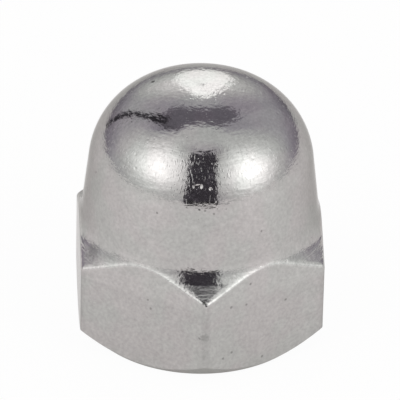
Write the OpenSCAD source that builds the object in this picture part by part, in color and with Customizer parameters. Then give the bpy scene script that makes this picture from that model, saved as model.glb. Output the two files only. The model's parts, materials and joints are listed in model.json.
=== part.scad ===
// Domed cap nut: a hexagon that carries a closed, high dome over a blind threaded hole.
// All sizes are in millimetres and all angles in degrees. The bearing face lies on
// z = 0, the dome points up and one corner of the hexagon points along -Y.

/* [Hexagon] */
// Width across the flats
across_flats = 16; // [15:0.5:18]
// Height at which the shoulder meets the foot of the dome
shoulder_h = 7.75; // [6.5:0.05:9]
// Slope of the cone that cuts the upper corners, measured from level
shoulder_angle = 41; // [25:1:50]
// Slope of the cone that cuts the lower corners, measured from level
base_chamfer_angle = 44; // [15:1:50]
// How far the round bearing face lies inside the flats
base_inset = 0.38; // [0.1:0.02:0.8]
// Radius that softens the upright corners
corner_r = 0.25; // [0.1:0.05:0.8]

/* [Dome] */
// Overall height, from the bearing face to the top of the crown
height = 17.6; // [16.5:0.1:19.5]
// How far the foot of the dome lies inside the flats
foot_inset = 0.1; // [0.05:0.05:0.8]
// Lean of the dome's side towards the axis, measured from upright
side_taper = 6.5; // [2:0.5:10]
// Radius of the knuckle that turns the side into the crown
knuckle_r = 5.65; // [4:0.05:6.5]
// Radius of the crown
crown_r = 10; // [8.5:0.5:14]
// Radius of the hollow where the dome rises from the shoulder
foot_fillet_r = 1.7; // [0.8:0.1:2.2]

/* [Thread] */
// Outside diameter of the screw that the nut takes
thread_d = 10; // [6:1:12]
// Pitch of the thread
thread_pitch = 1.5; // [0.75:0.25:1.75]
// How much wider than the thread the countersink opens at the mouth
mouth_over = 0.8; // [0.4:0.1:1.2]
// Included angle of the countersink
mouth_angle = 120; // [90:5:120]
// Included angle of the drill point at the blind end
drill_angle = 118; // [90:1:140]
// Metal left between the drill point and the top of the crown
roof_t = 2.1; // [1.5:0.1:4]

/* [Hidden] */
$fn = 120;

// Cutting shapes run this far past what they cut
overrun = 0.2;
// Arcs cross the lines and the arcs that they blend into at this slight angle
blend_crossing = 2;
// Basic profile of a metric thread: the crests stand 5/8 of the sharp height deep
sharp_height = thread_pitch * sqrt(3) / 2;
bore_r = thread_d / 2 - sharp_height * 5 / 8;

flat_r = across_flats / 2;
corner_reach = flat_r / cos(30);
blank_r = corner_reach + overrun;
corner_centre_r = corner_reach - corner_r * cos(blend_crossing) / cos(30);

// The two cones that top and tail the hexagon
base_r = flat_r - base_inset;
base_rise = (blank_r - base_r) * tan(base_chamfer_angle);
foot_r = flat_r - foot_inset;
shoulder_fall = (blank_r - foot_r) * tan(shoulder_angle);

// The knuckle blends into the leaning side and the crown. Its centre lies on the line that
// runs beside the side at knuckle_gap, and crown_gap away from the centre of the crown.
knuckle_gap = knuckle_r * cos(blend_crossing);
crown_gap = sqrt(pow(crown_r, 2) + pow(knuckle_r, 2) - 2 * crown_r * knuckle_r * cos(blend_crossing));
crown_z = height - crown_r;
lean = tan(side_taper);
line_r = foot_r + shoulder_h * lean - knuckle_gap / cos(side_taper);
knuckle_a = 1 + lean * lean;
knuckle_b = line_r * lean + crown_z;
knuckle_c = line_r * line_r + crown_z * crown_z - crown_gap * crown_gap;
knuckle_z = (knuckle_b + sqrt(knuckle_b * knuckle_b - knuckle_a * knuckle_c)) / knuckle_a;
knuckle_x = line_r - lean * knuckle_z;
crown_turn = atan2(knuckle_z - crown_z, knuckle_x);

// The hollow at the foot of the dome lies against the shoulder and the side
foot_turn = 90 - side_taper - shoulder_angle;
foot_gap = foot_fillet_r * cos(blend_crossing);
foot_run = foot_gap * tan(foot_turn / 2);

// The blind hole: its straight wall ends where the drill point begins
drill_z = height - roof_t;
bore_top = drill_z - bore_r / tan(drill_angle / 2);
mouth_r = (thread_d + mouth_over) / 2;
mouth_depth = (mouth_r - bore_r) / tan(mouth_angle / 2);

function polar(centre, reach, turn) = [centre[0] + reach * cos(turn), centre[1] + reach * sin(turn)];

foot = [foot_r, shoulder_h];
crown_centre = [0, crown_z];
crown_root = [0, crown_z - overrun];
knuckle_centre = [knuckle_x, knuckle_z];
side_end = polar(knuckle_centre, knuckle_gap, side_taper);
foot_low = polar(foot, foot_run, -shoulder_angle);
foot_high = polar(foot, foot_run, 90 + side_taper);
foot_centre = polar(foot_low, foot_gap, 90 - shoulder_angle);
foot_core = polar(foot, foot_run, 180);

// Everything of the section that lies right of the axis
module right_half() {
    intersection() {
        children();
        translate([0, -height]) square([2 * height, 3 * height]);
    }
}

// The slice of the crown between its knuckle and the axis
module crown_section() {
    intersection() {
        translate(crown_centre) circle(r = crown_r);
        polygon([
            crown_root,
            polar(crown_centre, 2 * crown_r, crown_turn),
            polar(crown_centre, 2 * crown_r, 90)
        ]);
    }
}

// The straight-sided parts of the turned outline, from the bearing face to the crown
module core_section() {
    polygon([
        [0, 0],
        [base_r, 0],
        [blank_r, base_rise],
        [blank_r, shoulder_h - shoulder_fall],
        foot,
        side_end,
        knuckle_centre,
        crown_centre
    ]);
}

// The blind hole with its countersunk mouth and drill point
module bore_section() {
    polygon([
        [0, -overrun],
        [mouth_r, -overrun],
        [mouth_r, 0],
        [bore_r, mouth_depth],
        [bore_r, bore_top],
        [0, drill_z]
    ]);
}

module turned_section() {
    difference() {
        union() {
            core_section();
            polygon([foot_core, foot_low, foot_centre, foot_high]);
            right_half() translate(knuckle_centre) circle(r = knuckle_r);
            crown_section();
        }
        translate(foot_centre) circle(r = foot_fillet_r);
        bore_section();
    }
}

// What rounding takes off one upright corner, which stands at the given angle
module corner_waste(turn) {
    centre = polar([0, 0], corner_centre_r, turn);
    difference() {
        polygon([
            centre,
            polar(centre, corner_r + overrun, turn - 30),
            polar([0, 0], blank_r, turn),
            polar(centre, corner_r + overrun, turn + 30)
        ]);
        translate(centre) circle(r = corner_r);
    }
}

module hexagon() {
    difference() {
        rotate(30) circle(r = corner_reach, $fn = 6);
        for (side = [0:5])
            corner_waste(60 * side - 90);
    }
}

module cap_nut() {
    color("#b4b0ae")
    intersection() {
        rotate_extrude() turned_section();
        linear_extrude(height = height) hexagon();
    }
}

cap_nut();
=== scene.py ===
import json
import math

import bmesh
import bpy
from mathutils import Matrix, Vector, geometry


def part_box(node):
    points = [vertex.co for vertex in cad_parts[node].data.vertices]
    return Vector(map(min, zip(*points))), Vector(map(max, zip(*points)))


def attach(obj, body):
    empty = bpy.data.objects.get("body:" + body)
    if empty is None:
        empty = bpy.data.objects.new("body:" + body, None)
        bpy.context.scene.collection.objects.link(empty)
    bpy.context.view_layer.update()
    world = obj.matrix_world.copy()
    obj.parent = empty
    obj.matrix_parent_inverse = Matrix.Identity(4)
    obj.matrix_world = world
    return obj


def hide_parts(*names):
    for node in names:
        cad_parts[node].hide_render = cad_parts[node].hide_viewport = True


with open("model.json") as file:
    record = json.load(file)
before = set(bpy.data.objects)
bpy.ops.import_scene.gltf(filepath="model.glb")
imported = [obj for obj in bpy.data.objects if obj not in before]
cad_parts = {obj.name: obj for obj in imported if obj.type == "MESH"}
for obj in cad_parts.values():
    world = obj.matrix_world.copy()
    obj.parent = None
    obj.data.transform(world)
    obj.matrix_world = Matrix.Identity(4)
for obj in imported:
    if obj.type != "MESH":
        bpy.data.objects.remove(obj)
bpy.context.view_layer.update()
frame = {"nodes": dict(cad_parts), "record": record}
mm = 0.001
print("frame loaded:", ", ".join(frame["nodes"]))


# Shader trees. A Wire is one output socket, and sums written on it add Math nodes.
class Wire:
    def __init__(self, tree, socket):
        self.tree = tree
        self.socket = socket

    def math(self, operation, *others):
        inputs = dict(enumerate((self, *others)))
        return self.tree.add("ShaderNodeMath", {"operation": operation}, inputs)

    def __add__(self, other):
        return self.math("ADD", other)

    def __sub__(self, other):
        return self.math("SUBTRACT", other)

    def __rsub__(self, other):
        return self.tree.add("ShaderNodeMath", {"operation": "SUBTRACT"}, {0: other, 1: self})

    def __mul__(self, other):
        return self.math("MULTIPLY", other)

    def __truediv__(self, other):
        return self.math("DIVIDE", other)

    def __abs__(self):
        return self.math("ABSOLUTE")

    def __lt__(self, other):
        return self.math("LESS_THAN", other)

    __radd__ = __add__
    __rmul__ = __mul__

    # Goes smoothly from 0 at the first value to 1 at the second, whichever of them is larger
    def ramp(self, start, end):
        settings = {"interpolation_type": "SMOOTHSTEP"}
        low, high = min(start, end), max(start, end)
        inputs = {"Value": self, "From Min": low, "From Max": high,
                  "To Min": float(start > end), "To Max": float(start <= end)}
        return self.tree.add("ShaderNodeMapRange", settings, inputs)

    # 1 from the second value to the third, 0 below the first and 0 above the last
    def band(self, bottom, full, fading, top):
        return self.ramp(bottom, full) * self.ramp(top, fading)

    # A soft hill of height 1 at the middle
    def hill(self, middle, spread):
        away = (self - middle) / spread
        return (away * away * -0.5).math("EXPONENT")

    # Gives way to another value by a share
    def blend(self, other, share):
        return self + share * (other - self)


class Tree:
    def __init__(self, owner):
        owner.use_nodes = True
        self.nodes = owner.node_tree.nodes
        self.links = owner.node_tree.links
        self.nodes.clear()

    def add(self, kind, settings=None, inputs=None, output=0):
        node = self.nodes.new(kind)
        for name, value in (settings or {}).items():
            setattr(node, name, value)
        for name, value in (inputs or {}).items():
            if isinstance(value, Wire):
                self.links.new(value.socket, node.inputs[name])
            else:
                node.inputs[name].default_value = value
        return Wire(self, node.outputs[output])

    def also(self, wire, output):
        return Wire(self, wire.socket.node.outputs[output])

    def vector(self, operation, *inputs, output=0):
        settings = {"operation": operation}
        return self.add("ShaderNodeVectorMath", settings, dict(enumerate(inputs)), output)

    def join(self, x, y, z):
        return self.add("ShaderNodeCombineXYZ", inputs={"X": x, "Y": y, "Z": z})

    def split(self, vector):
        parts = self.add("ShaderNodeSeparateXYZ", inputs={"Vector": vector})
        return parts, self.also(parts, "Y"), self.also(parts, "Z")

    # Sockets 6 and 7 and output 2 are the node's colours
    def mixColour(self, factor, first, second):
        inputs = {0: factor, 6: first, 7: second}
        return self.add("ShaderNodeMix", {"data_type": "RGBA"}, inputs, output=2)

    def dim(self, colour, strength):
        return self.vector("MULTIPLY", colour, self.join(strength, strength, strength))

    def noise(self, place, scale, detail=2, roughness=0.5):
        inputs = {"Vector": place, "Scale": scale, "Detail": detail, "Roughness": roughness}
        return self.add("ShaderNodeTexNoise", inputs=inputs)


def newMaterial(name):
    material = bpy.data.materials.new(name)
    return material, Tree(material)


def endTree(tree, surface, kind="ShaderNodeOutputMaterial"):
    node = tree.nodes.new(kind)
    tree.links.new(surface.socket, node.inputs["Surface"])


def addObject(name, mesh, material=None):
    made = bpy.data.objects.new(name, mesh)
    bpy.context.scene.collection.objects.link(made)
    if material:
        mesh.materials.append(material)
    return made


def meshFrom(shape, name):
    mesh = bpy.data.meshes.new(name)
    shape.to_mesh(mesh)
    shape.free()
    return mesh


# The camera, at the angle of the picture, in millimetres and degrees. Its aim is moved a little up
# and to the left from the target.
view = {
    "azimuth": -3.5,
    "elevation": 32.56,
    "roll": 1.3,
    "distance": 384,
    "lens": 523.4,
    "pictureSize": 400,
    "target": (0, 0, 8),
    "aimUp": 0.575,
    "aimLeft": 0.005,
}


def viewAxes():
    azimuth, elevation, roll = (math.radians(view[k]) for k in ("azimuth", "elevation", "roll"))
    level = math.cos(elevation)
    back = Vector((math.sin(azimuth) * level, -math.cos(azimuth) * level, math.sin(elevation)))
    turned = Matrix.Rotation(roll, 3, back)
    right = turned @ Vector((math.cos(azimuth), math.sin(azimuth), 0))
    return right, back.cross(right), back


def makeCamera():
    right, up, back = viewAxes()
    lens = bpy.data.cameras.new("camera")
    lens.lens = view["lens"]
    lens.clip_start = 0.01
    camera = bpy.data.objects.new("camera", lens)
    bpy.context.scene.collection.objects.link(camera)
    aim = Vector(view["target"]) + up * view["aimUp"] - right * view["aimLeft"]
    place = (aim + back * view["distance"]) * mm
    turn = Matrix((right, up, back)).transposed().to_4x4()
    camera.matrix_world = Matrix.Translation(place) @ turn
    bpy.context.scene.camera = camera


makeCamera()
print("camera placed")

# The nut, in millimetres and degrees. Its height and width come from the frame. The last values say
# how close a row lies beside each rounded edge, how many columns there are, how much they crowd at
# the corners, in how many steps each arc is drawn and from which angle on an edge looks sharp.
nut = {
    "shoulderHeight": 6.9,
    "shoulderAngle": 24,
    "baseAngle": 44,
    "baseInset": 0.38,
    "cornerRadius": 0.25,
    "footInset": 0.008,
    "sideTaper": 6.5,
    "knuckleRadius": 5.65,
    "crownRadius": 10,
    "hollowRadius": 3.1,
    "mouthOver": 0.8,
    "mouthAngle": 120,
    "drillAngle": 118,
    "roof": 2.1,
    "shoulderEdge": 0.4,
    "baseEdge": 0.14,
    "mouthEdge": 0.1,
    "closeRow": 0.03,
    "columns": 360,
    "crowding": 0.85,
    "mouthSteps": 3,
    "baseSteps": 4,
    "chamferSteps": 5,
    "edgeSteps": 7,
    "shoulderSteps": 18,
    "knuckleSteps": 40,
    "crownSteps": 18,
    "sharpAngle": 35,
}
# The thread that is cut into it. Its ridge starts inside the wall of the hole, and over the lead at
# its top it goes down to a stub, which stays inside that wall too.
thread = {
    "diameter": 10,
    "pitch": 1.5,
    "flankAngle": 30,
    "coreRadius": 3.95,
    "top": 11.6,
    "leadTurns": 2,
    "stub": 0.02,
    "stepsATurn": 90,
}
sixth = math.pi / 3
firstCorner = sixth / 2
tiny = 1e-5
lowest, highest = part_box("cap_nut")
flatRadius = (highest.x - lowest.x) / 2 / mm
height = highest.z / mm
boreRadius = frame["record"]["mounts"][0]["dims"]["r_mm"]


def polar(centre, reach, turn):
    return centre + Vector((math.cos(turn), math.sin(turn))) * reach


def arc(centre, radius, start, end, steps):
    return [polar(centre, radius, start + (end - start) * n / steps) for n in range(steps + 1)]


def halfTangent(angle):
    return math.tan(math.radians(angle / 2))


# A corner of the section with its edge rounded, and a close row on each side of the rounding
def softCorner(before, corner, after, radius, steps):
    back, ahead = (before - corner).normalized(), (after - corner).normalized()
    half = back.angle(ahead) / 2
    run = radius / math.tan(half)
    centre = corner + (back + ahead).normalized() * radius / math.sin(half)
    start = corner + back * run - centre
    sweep = math.pi - 2 * half
    turn = math.atan2(start.y, start.x)
    wide = run + nut["closeRow"]
    return [corner + back * wide, *arc(centre, radius, turn, turn + sweep, steps), corner + ahead * wide]


# The turned outline of the dome: the side leans, and the knuckle and the crown touch it and each other
lean = math.radians(nut["sideTaper"])
slope = math.radians(nut["shoulderAngle"])
foot = Vector((flatRadius - nut["footInset"], nut["shoulderHeight"]))
crownCentre = Vector((0, height - nut["crownRadius"]))
beside = polar(foot, nut["knuckleRadius"], math.pi + lean)
above = polar(beside, height, math.pi / 2 + lean)
crownGap = nut["crownRadius"] - nut["knuckleRadius"]
crossings = geometry.intersect_line_sphere_2d(beside, above, crownCentre, crownGap, False)
knuckleCentre = max(crossings, key=lambda point: point.y)
crownTurn = math.atan2(*reversed(knuckleCentre - crownCentre))
sideEnd = polar(knuckleCentre, nut["knuckleRadius"], lean)

# The shoulder is one hollow, which touches the dome's side and the line that falls away from the
# dome's foot at the shoulder's angle
hollowTurn = math.pi / 2 - lean - slope
hollowRun = nut["hollowRadius"] * math.tan(hollowTurn / 2)
hollowLow = polar(foot, hollowRun, -slope)
hollowHigh = polar(foot, hollowRun, math.pi / 2 + lean)
hollowCentre = polar(hollowLow, nut["hollowRadius"], math.pi / 2 - slope)

# The blind hole
drillTip = Vector((0, height - nut["roof"]))
boreTop = Vector((boreRadius, drillTip.y - boreRadius / halfTangent(nut["drillAngle"])))
mouthRadius = (thread["diameter"] + nut["mouthOver"]) / 2
mouth = Vector((mouthRadius, 0))
mouthTop = Vector((boreRadius, (mouthRadius - boreRadius) / halfTangent(nut["mouthAngle"])))
base = Vector((flatRadius - nut["baseInset"], 0))


# The rounded edge between a flat and the shoulder, where the hexagon reaches out as far as given, and
# the shoulder's hollow from there up to the side
def shoulderRows(reach):
    edge, hollow, steps = nut["shoulderEdge"], nut["hollowRadius"], nut["shoulderSteps"]
    centre = Vector((reach - edge, 0))
    away = hollowCentre.x - centre.x
    centre.y = hollowCentre.y - math.sqrt((hollow + edge) ** 2 - away ** 2)
    turn = math.atan2(hollowCentre.y - centre.y, away)
    start, end = turn + math.pi, math.pi + lean
    whole = hollow * (start - end)
    runs = [nut["closeRow"], *(whole * n / steps for n in range(1, steps + 1))]
    return [
        Vector((reach, centre.y - nut["closeRow"])),
        *arc(centre, edge, 0, turn, nut["edgeSteps"]),
        *(polar(hollowCentre, hollow, start - run / hollow) for run in runs),
    ]


def section(reach):
    chamfer = Vector((reach, (reach - base.x) * math.tan(math.radians(nut["baseAngle"]))))
    upright = chamfer + Vector((0, 1))
    close = nut["closeRow"]
    along = (sideEnd - hollowHigh).normalized() * close
    knuckle = arc(knuckleCentre, nut["knuckleRadius"], lean, crownTurn, nut["knuckleSteps"])
    crown = arc(crownCentre, nut["crownRadius"], crownTurn, math.pi / 2, nut["crownSteps"])
    return [
        drillTip,
        boreTop,
        mouthTop,
        *softCorner(mouthTop, mouth, base, nut["mouthEdge"], nut["mouthSteps"]),
        *softCorner(mouth, base, chamfer, nut["baseEdge"], nut["baseSteps"]),
        *softCorner(base, chamfer, upright, nut["baseEdge"], nut["chamferSteps"]),
        *shoulderRows(reach),
        hollowHigh + along,
        sideEnd - along,
        *knuckle,
        *crown[1:],
    ]


# How far the hexagon reaches at an angle from one of its corners
def hexagonReach(turn):
    turn = abs((turn + sixth / 2) % sixth - sixth / 2)
    radius = nut["cornerRadius"]
    centre = (flatRadius - radius) / math.cos(sixth / 2)
    rounded = math.atan2(radius * math.sin(sixth / 2), centre + radius * math.cos(sixth / 2))
    if turn > rounded:
        return flatRadius / math.cos(sixth / 2 - turn)
    return centre * math.cos(turn) + math.sqrt(radius ** 2 - (centre * math.sin(turn)) ** 2)


# The blank is turned from the section at a corner. Then the flats are milled: each column of points
# goes to the section that the hexagon leaves there, and the columns crowd together at the corners.
def turnNut():
    shape = bmesh.new()
    rowOf = shape.verts.layers.int.new("row")
    points = [shape.verts.new((point.x, 0, point.y)) for point in section(hexagonReach(0))]
    for number, point in enumerate(points):
        point[rowOf] = number
    for pair in zip(points, points[1:]):
        shape.edges.new(pair)
    bmesh.ops.spin(
        shape, geom=shape.verts[:] + shape.edges[:], cent=(0, 0, 0), axis=(0, 0, 1), dvec=(0, 0, 0),
        angle=2 * math.pi, steps=nut["columns"], use_merge=True,
    )
    step = 2 * math.pi / nut["columns"]
    sections = {}
    for vert in shape.verts:
        if vert.co.xy.length < tiny:
            continue
        column = round(math.atan2(vert.co.y, vert.co.x) / step)
        if column not in sections:
            turn = column * step - firstCorner
            turn -= nut["crowding"] * math.sin(6 * turn) / 6
            sections[column] = turn + firstCorner, section(hexagonReach(turn))
        turn, rows = sections[column]
        point = rows[vert[rowOf]]
        vert.co = (point.x * math.cos(turn), point.x * math.sin(turn), point.y)
    bmesh.ops.remove_doubles(shape, verts=shape.verts, dist=tiny)
    bmesh.ops.recalc_face_normals(shape, faces=shape.faces)
    return shape


# A tap: one ridge with the profile of the thread, wound up the hole, which tapers off at its top. The
# flat on the ridge is an eighth of the pitch wide.
def windTap():
    shape = bmesh.new()
    pitch, core, outside = thread["pitch"], thread["coreRadius"], thread["diameter"] / 2
    crest = pitch / 8 / 2
    root = crest + (outside - core) * math.tan(math.radians(thread["flankAngle"]))
    profile = ((core, -root), (outside, -crest), (outside, crest), (core, root))
    points = [shape.verts.new((x, 0, z - pitch)) for x, z in profile]
    for pair in zip(points, points[1:] + points[:1]):
        shape.edges.new(pair)
    turns = math.ceil(thread["top"] / pitch) + 1
    bmesh.ops.spin(
        shape, geom=shape.verts[:] + shape.edges[:], cent=(0, 0, 0), axis=(0, 0, 1),
        dvec=(0, 0, pitch / thread["stepsATurn"]), angle=2 * math.pi * turns,
        steps=turns * thread["stepsATurn"], use_merge=False,
    )
    bmesh.ops.holes_fill(shape, edges=shape.edges, sides=len(profile))
    lead, stub = thread["leadTurns"] * pitch, thread["stub"]
    for vert in shape.verts:
        left = min(1, max(0, (thread["top"] - vert.co.z) / lead))
        most = core + stub + (outside - core - stub) * left
        reach = vert.co.xy.length
        if reach > most:
            vert.co.xy *= most / reach
    bmesh.ops.recalc_face_normals(shape, faces=shape.faces)
    return shape


def cutThread(blank):
    tap = addObject("tap", meshFrom(windTap(), "tap"))
    cut = blank.modifiers.new("thread", "BOOLEAN")
    cut.operation = "DIFFERENCE"
    cut.solver = "MANIFOLD"
    cut.object = tap
    bpy.context.view_layer.update()
    mesh = bpy.data.meshes.new_from_object(blank.evaluated_get(bpy.context.evaluated_depsgraph_get()))
    for gone in (blank, tap):
        bpy.data.objects.remove(gone)
    return mesh


# Polished steel. The noises "grain", "cloud", "hammer", "fine", "coarse" and "tone" hold how many
# there are in a millimetre, their detail and their roughness. The noises "ripple", "drag" and
# "turned" run round the axis like the marks of a polishing wheel or a lathe tool: so many a
# millimetre up the side, so many a radian round it, and their detail. The spots hold how many there
# are in a millimetre, their radius in millimetres and the share of places that have one. What is
# named a height is one in millimetres, and the pairs say where something begins and where it is full.
steel = {
    "colour": (0.4665, 0.452, 0.4505, 1),
    "otherColour": (0.4535, 0.4545, 0.4465, 1),
    "tone": (0.4, 1, 0.5),
    "toneChange": (0.4, 0.6),
    "edgeTint": (0.62, 0.62, 0.61, 1),
    "roughness": 0.085,
    "roughnessVaries": 0.05,
    "grain": (4.5, 3, 0.6),
    "grainDepth": 0.5,
    "cloud": (1.1, 2, 0.5),
    "cloudDepth": 0.16,
    "cornerShade": 0.07,
    "cornerReach": (9, 9.17),
    "pits": (0.75, 0.06, 0.3),
    "pitShade": 0.3,
    "ripple": (2.6, 6, 3),
    "rippleHeight": 0.015,
    "hammer": (3.2, 2, 0.5),
    "hammerHeight": 0.007,
    "dents": (1.7, 0.14, 0.4),
    "dentHeight": 0.01,
    "nicks": (3.2, 0.075, 0.45),
    "nickHeight": 0.006,
    "spotSizes": (0.6, 0.8),
    "drag": (2.2, 64, 1),
    "dragChange": (0.58, 0.78),
    "dragReach": (4, 6),
    "dragHeight": 0.0042,
    "fine": (9, 2, 0.6),
    "fineHeight": 0.0006,
    "unpolished": (5.9, 6.5, 8.3, 8.9),
    "coarse": (5, 2, 0.6),
    "coarseHeight": 0.011,
    "coarseRoughness": 0.015,
    "brushedBelow": (7.4, 7.22),
    "brushedInside": (7.96, 7.7),
    "brushedRoughness": 0.16,
    "turned": (4, 5, 2),
    "turnedHeight": 0.085,
    # a painted highlight along the edge between the flats and the shoulder
    "edgeHighlight": (7.93, 0.04, 0.28),
    "edgeHighlightBand": (5.5, 6, 8, 8.3),
    "markRagged": 1.2,
    "markSolid": 0.4,
}

# Marks that the picture shows, one of them a painted dark reflection: where they are in it, how large
# they are in millimetres, how much darker they make the steel and how deep they are
marks = {
    # a painted dark reflection of the camera's slot at the tip of the front corner
    "painted dark reflection at the corner tip": (203.9, 303.4, 0.17, 0.8, 0),
    "smudge": (204.5, 338, 0.4, 0.22, 0.004),
    "dent in the dark bar": (195.6, 187, 0.28, 0, 0.052),
    "dent beside it": (199.6, 186.5, 0.28, 0, 0.052),
    "small dent in the bar": (211, 189, 0.15, 0, 0.03),
    "scratch on the crown": (153, 81.5, 0.2, 0.75, 0.015),
    "pit on the right flat": (231, 307.5, 0.14, 0.35, 0),
    "pit below it": (262, 356, 0.14, 0.35, 0),
    "pit on the left flat": (150.5, 308.5, 0.1, 0.3, 0),
    # a rough patch on the left shoulder, darker in colour and raised in bump
    "darker rough patch on the left shoulder": (93, 251, 0.75, 0.25, 0.01),
}
smallPits = {
    "places": (
        (205, 211), (214, 214), (157, 213), (96, 172), (261.5, 231), (250.5, 284), (285.5, 299.5),
        (246.5, 304.5), (223, 358.5), (231.5, 352.5), (199.5, 338.5), (148, 300),
    ),
    "radius": 0.11,
    "dark": 0.4,
}


# Round spots, some smaller and some larger than the size given
def spots(tree, place, scale, size, share):
    distance = tree.add("ShaderNodeTexVoronoi", {"feature": "F1"}, {"Vector": place, "Scale": scale})
    pick, other = tree.split(tree.also(distance, "Color"))[:2]
    smallest, change = steel["spotSizes"]
    spread = size * scale * (smallest + other * change)
    return (distance / spread).ramp(1, 0) * (pick < share)


def polishedSteel(marked):
    material, tree = newMaterial("polishedSteel")
    spot = tree.vector("MULTIPLY", tree.add("ShaderNodeTexCoord", output="Object"), (1 / mm,) * 3)
    x, y, z = tree.split(spot)
    # the distance from the axis, kept just above 0
    reach = (x * x + y * y + 0.01).math("SQRT")

    def wrapped(upward, around, detail):
        place = tree.join((z - reach) * upward, x / reach * around, y / reach * around)
        return tree.noise(place, 1, detail)

    ripple = wrapped(*steel["ripple"])
    drag = wrapped(*steel["drag"]).ramp(*steel["dragChange"])
    turned = wrapped(*steel["turned"])
    grain = tree.noise(spot, *steel["grain"])
    fine = tree.noise(spot, *steel["fine"])
    cloud = tree.noise(spot, *steel["cloud"])
    hammer = tree.noise(spot, *steel["hammer"])
    coarse = tree.noise(spot, *steel["coarse"])
    pits = spots(tree, spot, *steel["pits"])
    dents = spots(tree, spot, *steel["dents"])
    nicks = spots(tree, spot, *steel["nicks"])

    # the shoulder, where the wheel didn't reach, its part with the turning marks, and a painted
    # highlight along its edge with the flats, which is found by the distance across the flats
    corner = z.band(*steel["unpolished"])
    aslant, along = x * math.cos(sixth), y * math.sin(sixth)
    across = abs(x).math("MAXIMUM", abs(aslant + along)).math("MAXIMUM", abs(aslant - along))
    brushed = z.ramp(*steel["brushedBelow"]) * across.ramp(*steel["brushedInside"])
    middle, spread, strength = steel["edgeHighlight"]
    edgeHighlight = across.hill(middle, spread) * z.band(*steel["edgeHighlightBand"]) * strength

    shade = 1 + (grain - 0.5) * steel["grainDepth"] + (cloud - 0.5) * steel["cloudDepth"]
    shade = shade * (1 - pits * steel["pitShade"])
    # painted shade at the corners, and the painted highlight along the edge of the flats
    shade = shade * (1 - reach.ramp(*steel["cornerReach"]) * steel["cornerShade"]) * (1 + edgeHighlight)
    relief = ripple * steel["rippleHeight"] + hammer * steel["hammerHeight"] + fine * steel["fineHeight"]
    relief = relief - dents * steel["dentHeight"] - nicks * steel["nickHeight"]
    relief = relief + coarse * corner * steel["coarseHeight"] + turned * brushed * steel["turnedHeight"]
    relief = relief + drag * reach.ramp(*steel["dragReach"]) * (1 - corner) * steel["dragHeight"]
    for place, size, dark, depth in marked:
        apart = tree.vector("DISTANCE", spot, tuple(place), output="Value") / size
        mark = (apart + (grain - 0.5) * steel["markRagged"]).ramp(1, steel["markSolid"])
        shade = shade * (1 - mark * dark)
        relief = relief - apart.ramp(1, 0) * depth
    tone = tree.noise(spot, *steel["tone"]).ramp(*steel["toneChange"])
    colour = tree.dim(tree.mixColour(tone, steel["colour"], steel["otherColour"]), shade)
    bump = tree.add("ShaderNodeBump", inputs={"Strength": 1, "Distance": mm, "Height": relief})
    roughness = steel["roughness"] + (grain - 0.5) * steel["roughnessVaries"]
    roughness = roughness + corner * steel["coarseRoughness"] + brushed * steel["brushedRoughness"]
    shader = tree.add("ShaderNodeBsdfPrincipled", inputs={
        "Base Color": colour, "Metallic": 1, "Roughness": roughness, "Normal": bump,
        "Specular Tint": steel["edgeTint"],
    })
    endTree(tree, shader)
    return material


# The place on a piece that the picture shows at a point
def placeSeen(piece, x, y):
    right, up, back = viewAxes()
    camera = bpy.context.scene.camera
    focus = camera.data.lens / camera.data.sensor_width * view["pictureSize"]
    middle = view["pictureSize"] / 2
    ray = right * (x - middle) + up * (middle - y) - back * focus
    place = piece.ray_cast(camera.matrix_world.translation, ray.normalized())[1]
    return place / mm


def makeNut():
    blank = addObject("blank", meshFrom(turnNut(), "blank"))
    mesh = cutThread(blank)
    mesh.name = "domedNut"
    mesh.materials.clear()
    mesh.transform(Matrix.Scale(mm, 4))
    mesh.shade_smooth()
    mesh.set_sharp_from_angle(angle=math.radians(nut["sharpAngle"]))
    piece = addObject("domedNut", mesh)
    pits = [(x, y, smallPits["radius"], smallPits["dark"], 0) for x, y in smallPits["places"]]
    seen = [(placeSeen(piece, x, y), *rest) for x, y, *rest in (*marks.values(), *pits)]
    mesh.materials.append(polishedSteel(seen))
    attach(piece, "root")
    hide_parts("cap_nut")
    return piece


domedNut = makeNut()
print("nut turned, milled and threaded:", len(domedNut.data.polygons), "faces")

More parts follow.
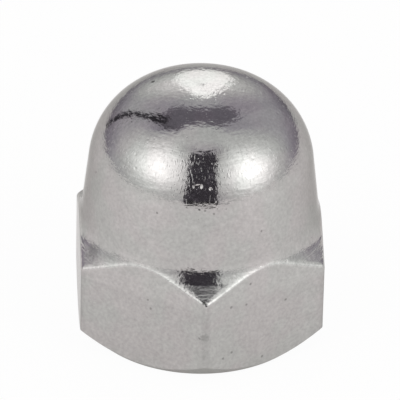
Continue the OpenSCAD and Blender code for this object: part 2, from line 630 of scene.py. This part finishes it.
# The studio: a pale table inside a pale tent. Two lamps shine through the front of the tent and one
# through its back, and the camera looks in through an upright slot. Angles are degrees from the
# camera's side, to the right, and degrees above level. Those of the back lamp, its halo and the dark
# band above it are degrees from straight behind the nut, to the left. A hill holds its middle, its
# spread and its strength. The pairs say where something begins and where it is full.
studio = {
    "radius": 0.5,
    "segments": 96,
    "wall": 0.8,
    "rearWall": 0.56,
    "rearFrom": (95, 125),
    "rearBelow": (78, 70),
    "dimFoot": 0.22,
    "dimFootBelow": (28, -2),
    "brow": (66, 6, 0.22),
    "browInside": (70, 40),
    "lamps": ((-52, 33, 16.5, 18, 1.5), (58, 27, 15.5, 17, 1.8)),
    "backLamp": (-0.3, 28, 10.6, 21.5, 1.98),
    "backLampRim": (1.25, 0.78),
    "backHalo": (3, 26, 16.5, 14.5, 1.05),
    "rearFoot": 0.33,
    "rearFootFrom": (138, 152),
    "rearFootBelow": (62, 45),
    "slot": (-15.5, 17.5, 66),
    "slotEdges": (0.5, 0.7),
    "slotFlare": (32, 0.1, 0.32),
    "slotLight": 0.05,
    "slotStreaks": (0.4, 0.16, 0.22),
    "streakChange": (0.5, 0.75),
    "rearBand": (-44, -39, 67, 70),
    "rearBandFrom": (59, 63),
    "rearBandBelow": (79, 76),
    "rearBandDip": (150, 12, 8),
    "rearBandFall": 0.07,
    "rearBandLight": 0.2,
    "seam": (-134, 2.2, 0.7, 0.04),
    "seamTilt": (30, 0.09),
    "seamFlare": (0.03, 42, 0.3),
    "seamBelow": (63, 60),
    "seamShades": ((-112, 10, 0.4), (124, 12, 0.12)),
    "seamShadeBand": (40, 60, 70, 76),
    "tableColour": (0.95, 0.93, 0.92),
    "tableGlow": (0.955, 0.45),
    "tableMirrored": 1.2,
    "tableFade": (0.05, 0.3, 0.15),
    "tableBright": (55, 18, 0.12),
    "tableBrightFrom": (0.02, 0.05),
    "tableFront": (0.13, 0.135),
    "darkChange": (0.85, 0.2),
    "lightTint": (0.998, 1, 0.985, 1),
    "darkTint": (1.1, 1, 1.18, 1),
}


# The direction of a place from the nut, as an angle from the camera's side and one above level
def direction(tree, place):
    x, y, z = tree.split(tree.vector("NORMALIZE", place))
    azimuth = math.radians(view["azimuth"])
    ahead = x * math.sin(azimuth) - y * math.cos(azimuth)
    side = x * math.cos(azimuth) + y * math.sin(azimuth)
    turn = side.math("ARCTAN2", ahead) * math.degrees(1)
    rise = z.math("ARCSINE") * math.degrees(1)
    return turn, rise


# 1 inside the camera's slot, which opens out from part of the way up, mostly to the right
def inSlot(turn, rise):
    left, right, top = studio["slot"]
    soft, softTop = studio["slotEdges"]
    start, leftFlare, rightFlare = studio["slotFlare"]
    flare = (rise - start).math("MAXIMUM", 0)
    inside = (turn + flare * leftFlare).ramp(left - soft, left + soft)
    inside = inside * (turn - flare * rightFlare).ramp(right + soft, right - soft)
    return inside * rise.ramp(top + softTop, top - softTop)


def tentMaterial():
    material, tree = newMaterial("paleTent")
    turn, rise = direction(tree, tree.add("ShaderNodeTexCoord", output="Object"))
    off = abs(turn)
    rear = off.ramp(*studio["rearFrom"]) * rise.ramp(*studio["rearBelow"])
    light = studio["wall"] - rear * (studio["wall"] - studio["rearWall"])
    middle, spread, depth = studio["brow"]
    light = light - rise.hill(middle, spread) * off.ramp(*studio["browInside"]) * depth
    for middle, up, wide, tall, strength in studio["lamps"]:
        stretch = 1 / math.cos(math.radians(up))
        light = light + turn.hill(middle, wide * stretch) * rise.hill(up, tall) * strength
    light = light * (1 - rise.ramp(*studio["dimFootBelow"]) * (1 + rear) * studio["dimFoot"])

    # the back of the tent: its foot, its round lamp, the dark band above that and a seam
    behind = turn + (turn < 0) * 360 - 180
    rearFoot = off.ramp(*studio["rearFootFrom"]) * rise.ramp(*studio["rearFootBelow"])
    light = light * (1 - rearFoot * studio["rearFoot"])
    middle, up, wide, tall, strength = studio["backHalo"]
    light = light + behind.hill(middle, wide) * rise.hill(up, tall) * strength
    middle, up, wide, tall, lampLight = studio["backLamp"]
    aside, upward = (behind - middle) / wide, (rise - up) / tall
    light = light.blend(lampLight, (aside * aside + upward * upward).ramp(*studio["backLampRim"]))
    middle, spread, dip = studio["rearBandDip"]
    band = behind.band(*studio["rearBand"])
    band = band * (rise + off.hill(middle, spread) * dip).ramp(*studio["rearBandFrom"])
    band = band * (rise + abs(behind) * studio["rearBandFall"]).ramp(*studio["rearBandBelow"])
    light = light.blend(studio["rearBandLight"], band)
    for middle, spread, depth in studio["seamShades"]:
        light = light * (1 - turn.hill(middle, spread) * rise.band(*studio["seamShadeBand"]) * depth)
    middle, wide, soft, seamLight = studio["seam"]
    level, tilt = studio["seamTilt"]
    growth, start, flare = studio["seamFlare"]
    spread = rise * growth + (rise - start).math("MAXIMUM", 0) * flare
    aside = abs(turn - middle - (rise - level) * tilt) - spread
    seam = aside.ramp(wide + soft, wide - soft) * rise.ramp(*studio["seamBelow"])
    light = light.blend(seamLight, seam)

    along, upward, strength = studio["slotStreaks"]
    streaks = tree.noise(tree.join(turn * along, rise * upward, 0), 1, 2, 0.6)
    slotLight = studio["slotLight"] + streaks.ramp(*studio["streakChange"]) * strength
    light = light.blend(slotLight, inSlot(turn, rise))
    dark = light.ramp(*studio["darkChange"])
    tint = tree.mixColour(dark, studio["lightTint"], studio["darkTint"])
    endTree(tree, tree.add("ShaderNodeEmission", inputs={"Color": tree.dim(tint, light), "Strength": 1}))
    material.cycles.emission_sampling = "NONE"
    return material


# The table glows a little by itself, so that it looks white to the camera and pale in the steel
def tableMaterial():
    material, tree = newMaterial("paleTable")
    place = tree.add("ShaderNodeTexCoord", output="Object")
    turn, rise = direction(tree, place)
    away = tree.vector("LENGTH", place, output="Value")
    # painted light and shade on the table: darker far out, brighter where the lamps shine, and painted
    # shade in front, under the camera's slot
    near, far, depth = studio["tableFade"]
    shade = 1 - away.ramp(near, far) * depth
    middle, wide, strength = studio["tableBright"]
    shade = shade + abs(turn).hill(middle, wide) * away.ramp(*studio["tableBrightFrom"]) * strength
    shade = shade.blend(studio["slotLight"], inSlot(turn, rise) * away.ramp(*studio["tableFront"]))
    colour = tree.dim(studio["tableColour"], shade)
    plain = tree.add("ShaderNodeBsdfDiffuse", inputs={"Color": colour})
    seen = tree.add("ShaderNodeLightPath", output="Is Camera Ray")
    tint = tree.mixColour(seen, tree.dim(colour, studio["tableMirrored"]), (1, 1, 1, 1))
    white = tree.add("ShaderNodeEmission", inputs={"Color": tint, "Strength": 1})
    mirrored = tree.also(seen, "Is Glossy Ray") + tree.also(seen, "Is Transmission Ray")
    direct, reflected = studio["tableGlow"]
    glow = seen * direct + mirrored * reflected
    endTree(tree, tree.add("ShaderNodeMixShader", inputs={0: glow, 1: plain, 2: white}))
    return material


def makeStudio():
    shape = bmesh.new()
    bmesh.ops.create_circle(shape, cap_ends=True, segments=studio["segments"], radius=studio["radius"])
    table = addObject("table", meshFrom(shape, "table"), tableMaterial())
    shape = bmesh.new()
    around, upward = studio["segments"], studio["segments"] // 2
    bmesh.ops.create_uvsphere(shape, u_segments=around, v_segments=upward, radius=studio["radius"])
    bmesh.ops.bisect_plane(
        shape, geom=shape.verts[:] + shape.edges[:] + shape.faces[:], plane_co=(0, 0, -mm),
        plane_no=(0, 0, -1), clear_outer=True,
    )
    tent = addObject("tent", meshFrom(shape, "tent"), tentMaterial())
    tent.data.shade_smooth()
    tent.visible_camera = False
    world = bpy.data.worlds.new("paleWorld")
    bpy.context.scene.world = world
    tree = Tree(world)
    white = tree.add("ShaderNodeBackground", inputs={"Color": (1, 1, 1, 1), "Strength": 1})
    endTree(tree, white, "ShaderNodeOutputWorld")
    world.cycles.sampling_method = "NONE"


makeStudio()
bpy.context.scene.view_settings.view_transform = "Standard"
print("studio set up")
